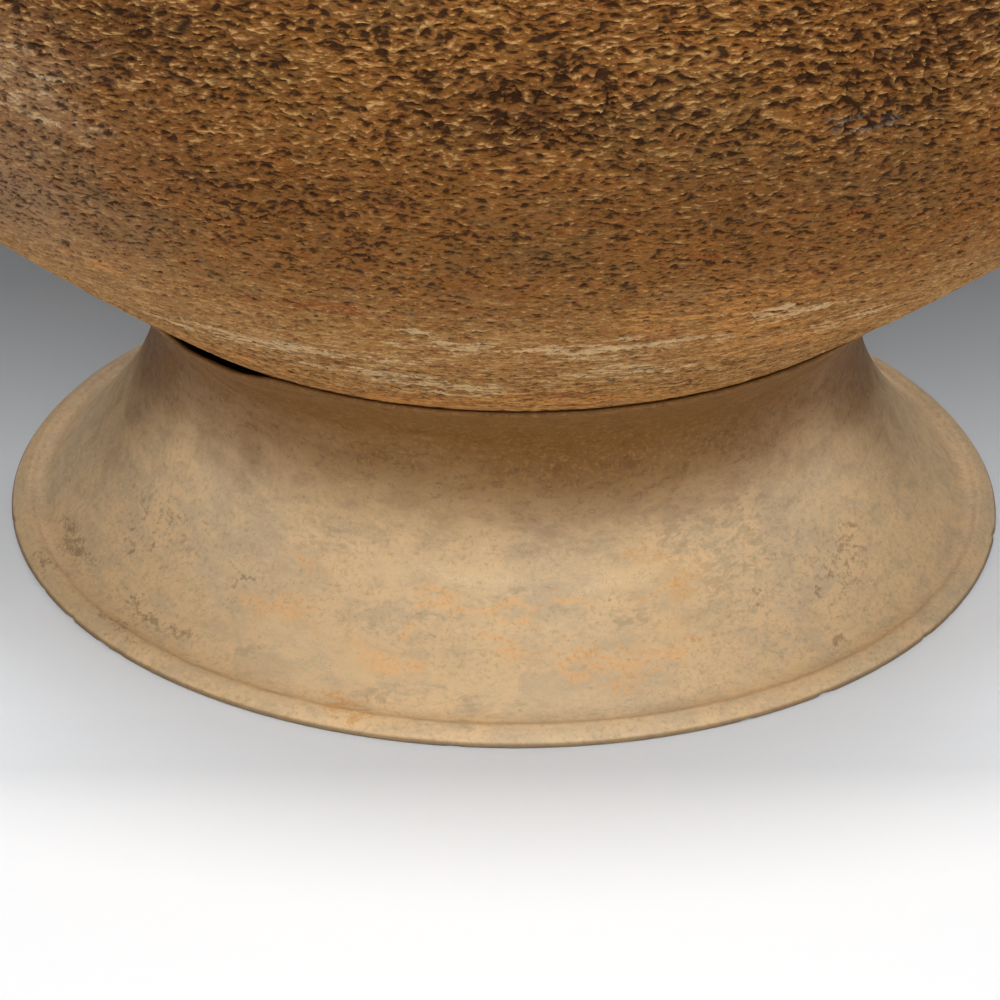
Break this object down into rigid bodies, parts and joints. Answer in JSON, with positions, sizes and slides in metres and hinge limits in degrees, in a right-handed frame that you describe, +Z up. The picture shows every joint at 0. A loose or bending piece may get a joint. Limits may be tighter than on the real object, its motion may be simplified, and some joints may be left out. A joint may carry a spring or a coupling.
{
  "type": "footed storage pot",
  "caption": "Large round-bottomed earthenware storage pot with a rough impressed surface, seated in a separate smooth pottery stand with a flared foot.",
  "frame": {"origin": "middle of the stand's foot at floor level", "axes": "+Z up along the pot's axis, -Y towards the front"},
  "size_m": [0.4904, 0.4904, 0.5203],
  "materials": {
    "pot_clay": "matt, coarse and impressed all over, warm brown with ochre and pale wear",
    "stand_clay": "smooth, between matt and satin, buff to tan with firing blotches"
  },
  "bodies": {
    "stand": {"pot_stand": "stand_clay"},
    "pot": {"storage_pot": "pot_clay"}
  },
  "joints": [
    {"name": "pot_lift", "type": "slide", "parent": "stand", "child": "pot", "axis": [0, 0, 1], "range_m": [0, 0.08]}
  ]
}
